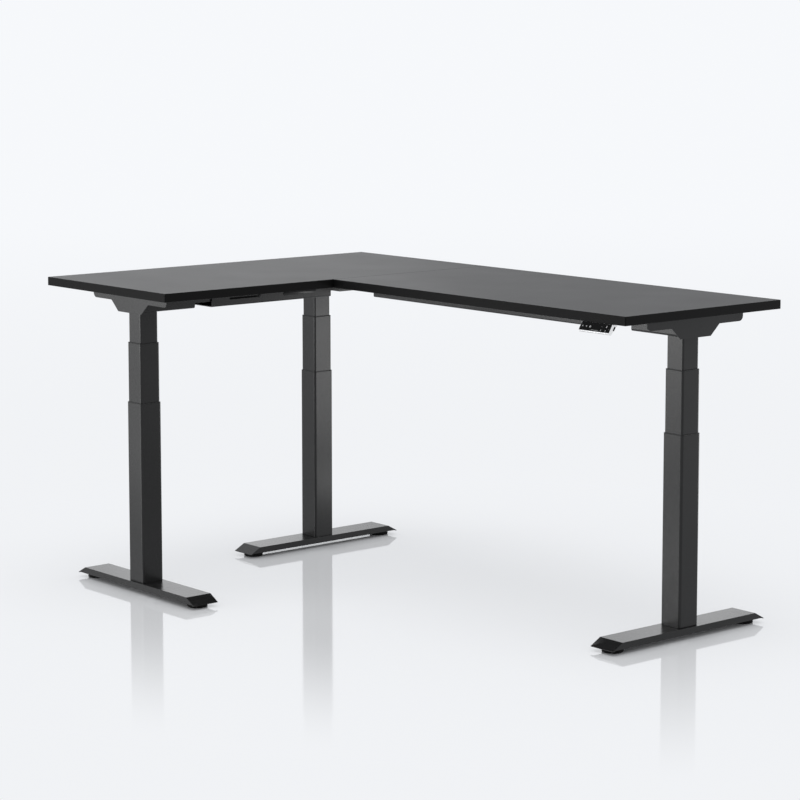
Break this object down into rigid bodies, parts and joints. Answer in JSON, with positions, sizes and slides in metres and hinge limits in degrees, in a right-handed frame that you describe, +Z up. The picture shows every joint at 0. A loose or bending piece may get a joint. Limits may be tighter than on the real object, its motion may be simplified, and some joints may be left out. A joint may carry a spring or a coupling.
{
  "type": "height adjustable standing desk",
  "caption": "L-shaped height adjustable standing desk: flat corner top on telescopic motor legs with T-shaped brackets, sliding cross beams, levelling glides and a tilted push-button handset.",
  "frame": {"origin": "on the floor, under the centre of the desk's overall outline", "axes": "+X along the main board towards the right leg, away from the wing; +Y from the user's side of the main board to its back edge; +Z up"},
  "size_m": [1.8, 1.2, 0.905],
  "materials": {
    "black_board": "matt black laminate on a board core, with a fine satin texture",
    "powder_coated_steel": "satin black powder coat, fine grain",
    "black_plastic": "matt moulded",
    "glide_rubber": "matt",
    "bright_steel": "machined, lightly greased",
    "motor_can": "dark zinc plated",
    "silver_plastic": "silver metallic paint on a moulding",
    "gloss_panel": "gloss black"
  },
  "bodies": {
    "corner_base": {"corner_foot": "powder_coated_steel", "corner_outer_tube": "powder_coated_steel", "corner_outer_bush": "black_plastic", "corner_base_screw": "bright_steel"},
    "corner_middle": {"corner_middle_tube": "powder_coated_steel", "corner_middle_bush": "black_plastic", "corner_lift_tube": "bright_steel"},
    "top": {"corner_inner_tube": "powder_coated_steel", "corner_motor": "motor_can", "corner_motor_housing": "powder_coated_steel", "corner_side_bracket": "powder_coated_steel", "right_inner_tube": "powder_coated_steel", "right_motor": "motor_can", "right_motor_housing": "powder_coated_steel", "right_side_bracket": "powder_coated_steel", "left_inner_tube": "powder_coated_steel", "left_motor": "motor_can", "left_motor_housing": "powder_coated_steel", "left_side_bracket": "powder_coated_steel", "main_sleeve": "powder_coated_steel", "wing_sleeve": "powder_coated_steel", "corner_rail": "powder_coated_steel", "right_rail": "powder_coated_steel", "left_rail": "powder_coated_steel", "wing_tee_rail": "powder_coated_steel", "wing_board": "black_board", "main_board": "black_board", "joining_plate": "powder_coated_steel", "control_box": "black_plastic", "handset_housing": "silver_plastic", "handset_panel": "gloss_panel"},
    "right_middle": {"right_middle_tube": "powder_coated_steel", "right_middle_bush": "black_plastic", "right_lift_tube": "bright_steel"},
    "right_base": {"right_foot": "powder_coated_steel", "right_outer_tube": "powder_coated_steel", "right_outer_bush": "black_plastic", "right_base_screw": "bright_steel"},
    "left_middle": {"left_middle_tube": "powder_coated_steel", "left_middle_bush": "black_plastic", "left_lift_tube": "bright_steel"},
    "left_base": {"left_foot": "powder_coated_steel", "left_outer_tube": "powder_coated_steel", "left_outer_bush": "black_plastic", "left_base_screw": "bright_steel"},
    "corner_spindle_drive": {"corner_spindle": "bright_steel"},
    "right_spindle_drive": {"right_spindle": "bright_steel"},
    "left_spindle_drive": {"left_spindle": "bright_steel"},
    "corner_front_glide": {"corner_glide_front": "glide_rubber"},
    "corner_rear_glide": {"corner_glide_rear": "glide_rubber"},
    "right_front_glide": {"right_glide_front": "glide_rubber"},
    "right_rear_glide": {"right_glide_rear": "glide_rubber"},
    "left_front_glide": {"left_glide_front": "glide_rubber"},
    "left_rear_glide": {"left_glide_rear": "glide_rubber"},
    "key_up_cap": {"key_up": "gloss_panel"},
    "key_down_cap": {"key_down": "gloss_panel"},
    "key_preset_1_cap": {"key_preset_1": "gloss_panel"},
    "key_preset_2_cap": {"key_preset_2": "gloss_panel"},
    "key_preset_3_cap": {"key_preset_3": "gloss_panel"},
    "key_memory_cap": {"key_memory": "gloss_panel"}
  },
  "joints": [
    {"name": "desk_lift", "type": "slide", "parent": "corner_base", "child": "corner_middle", "axis": [0, 0, 1], "range_m": [-0.164, 0.236]},
    {"name": "corner_upper_stage", "type": "slide", "parent": "corner_middle", "child": "top", "axis": [0, 0, 1], "range_m": [-0.082, 0.118]},
    {"name": "right_upper_stage", "type": "slide", "parent": "top", "child": "right_middle", "axis": [0, 0, -1], "range_m": [-0.082, 0.118]},
    {"name": "right_lower_stage", "type": "slide", "parent": "right_middle", "child": "right_base", "axis": [0, 0, -1], "range_m": [-0.164, 0.236]},
    {"name": "left_upper_stage", "type": "slide", "parent": "top", "child": "left_middle", "axis": [0, 0, -1], "range_m": [-0.082, 0.118]},
    {"name": "left_lower_stage", "type": "slide", "parent": "left_middle", "child": "left_base", "axis": [0, 0, -1], "range_m": [-0.164, 0.236]},
    {"name": "corner_spindle_turn", "type": "hinge", "parent": "top", "child": "corner_spindle_drive", "pos_m": [-0.758, 0.3, 0.67], "axis": [0, 0, 1], "range_deg": [-4921, 7081]},
    {"name": "right_spindle_turn", "type": "hinge", "parent": "top", "child": "right_spindle_drive", "pos_m": [0.82, 0.3, 0.67], "axis": [0, 0, 1], "range_deg": [-4921, 7081]},
    {"name": "left_spindle_turn", "type": "hinge", "parent": "top", "child": "left_spindle_drive", "pos_m": [-0.567, -0.49, 0.67], "axis": [0, 0, 1], "range_deg": [-4921, 7081]},
    {"name": "corner_front_levelling", "type": "slide", "parent": "corner_base", "child": "corner_front_glide", "axis": [0, 0, -1], "range_m": [0, 0.01]},
    {"name": "corner_rear_levelling", "type": "slide", "parent": "corner_base", "child": "corner_rear_glide", "axis": [0, 0, -1], "range_m": [0, 0.01]},
    {"name": "right_front_levelling", "type": "slide", "parent": "right_base", "child": "right_front_glide", "axis": [0, 0, -1], "range_m": [0, 0.01]},
    {"name": "right_rear_levelling", "type": "slide", "parent": "right_base", "child": "right_rear_glide", "axis": [0, 0, -1], "range_m": [0, 0.01]},
    {"name": "left_front_levelling", "type": "slide", "parent": "left_base", "child": "left_front_glide", "axis": [0, 0, -1], "range_m": [0, 0.01]},
    {"name": "left_rear_levelling", "type": "slide", "parent": "left_base", "child": "left_rear_glide", "axis": [0, 0, -1], "range_m": [0, 0.01]},
    {"name": "key_up_press", "type": "slide", "parent": "top", "child": "key_up_cap", "axis": [0, 0.848, -0.5299], "range_m": [0, 0.0006], "stiffness_N_per_m": 1500, "springref_m": -0.0003},
    {"name": "key_down_press", "type": "slide", "parent": "top", "child": "key_down_cap", "axis": [0, 0.848, -0.5299], "range_m": [0, 0.0006], "stiffness_N_per_m": 1500, "springref_m": -0.0003},
    {"name": "key_preset_1_press", "type": "slide", "parent": "top", "child": "key_preset_1_cap", "axis": [0, 0.848, -0.5299], "range_m": [0, 0.0006], "stiffness_N_per_m": 1500, "springref_m": -0.0003},
    {"name": "key_preset_2_press", "type": "slide", "parent": "top", "child": "key_preset_2_cap", "axis": [0, 0.848, -0.5299], "range_m": [0, 0.0006], "stiffness_N_per_m": 1500, "springref_m": -0.0003},
    {"name": "key_preset_3_press", "type": "slide", "parent": "top", "child": "key_preset_3_cap", "axis": [0, 0.848, -0.5299], "range_m": [0, 0.0006], "stiffness_N_per_m": 1500, "springref_m": -0.0003},
    {"name": "key_memory_press", "type": "slide", "parent": "top", "child": "key_memory_cap", "axis": [0, 0.848, -0.5299], "range_m": [0, 0.0006], "stiffness_N_per_m": 1500, "springref_m": -0.0003}
  ],
  "couplings": [
    {"joint": "corner_upper_stage", "follows": "desk_lift", "ratio": 0.5},
    {"joint": "right_upper_stage", "follows": "desk_lift", "ratio": 0.5},
    {"joint": "right_lower_stage", "follows": "desk_lift", "ratio": 1},
    {"joint": "left_upper_stage", "follows": "desk_lift", "ratio": 0.5},
    {"joint": "left_lower_stage", "follows": "desk_lift", "ratio": 1},
    {"joint": "corner_spindle_turn", "follows": "desk_lift", "rad_per_m": 523.6},
    {"joint": "right_spindle_turn", "follows": "desk_lift", "rad_per_m": 523.6},
    {"joint": "left_spindle_turn", "follows": "desk_lift", "rad_per_m": 523.6}
  ]
}
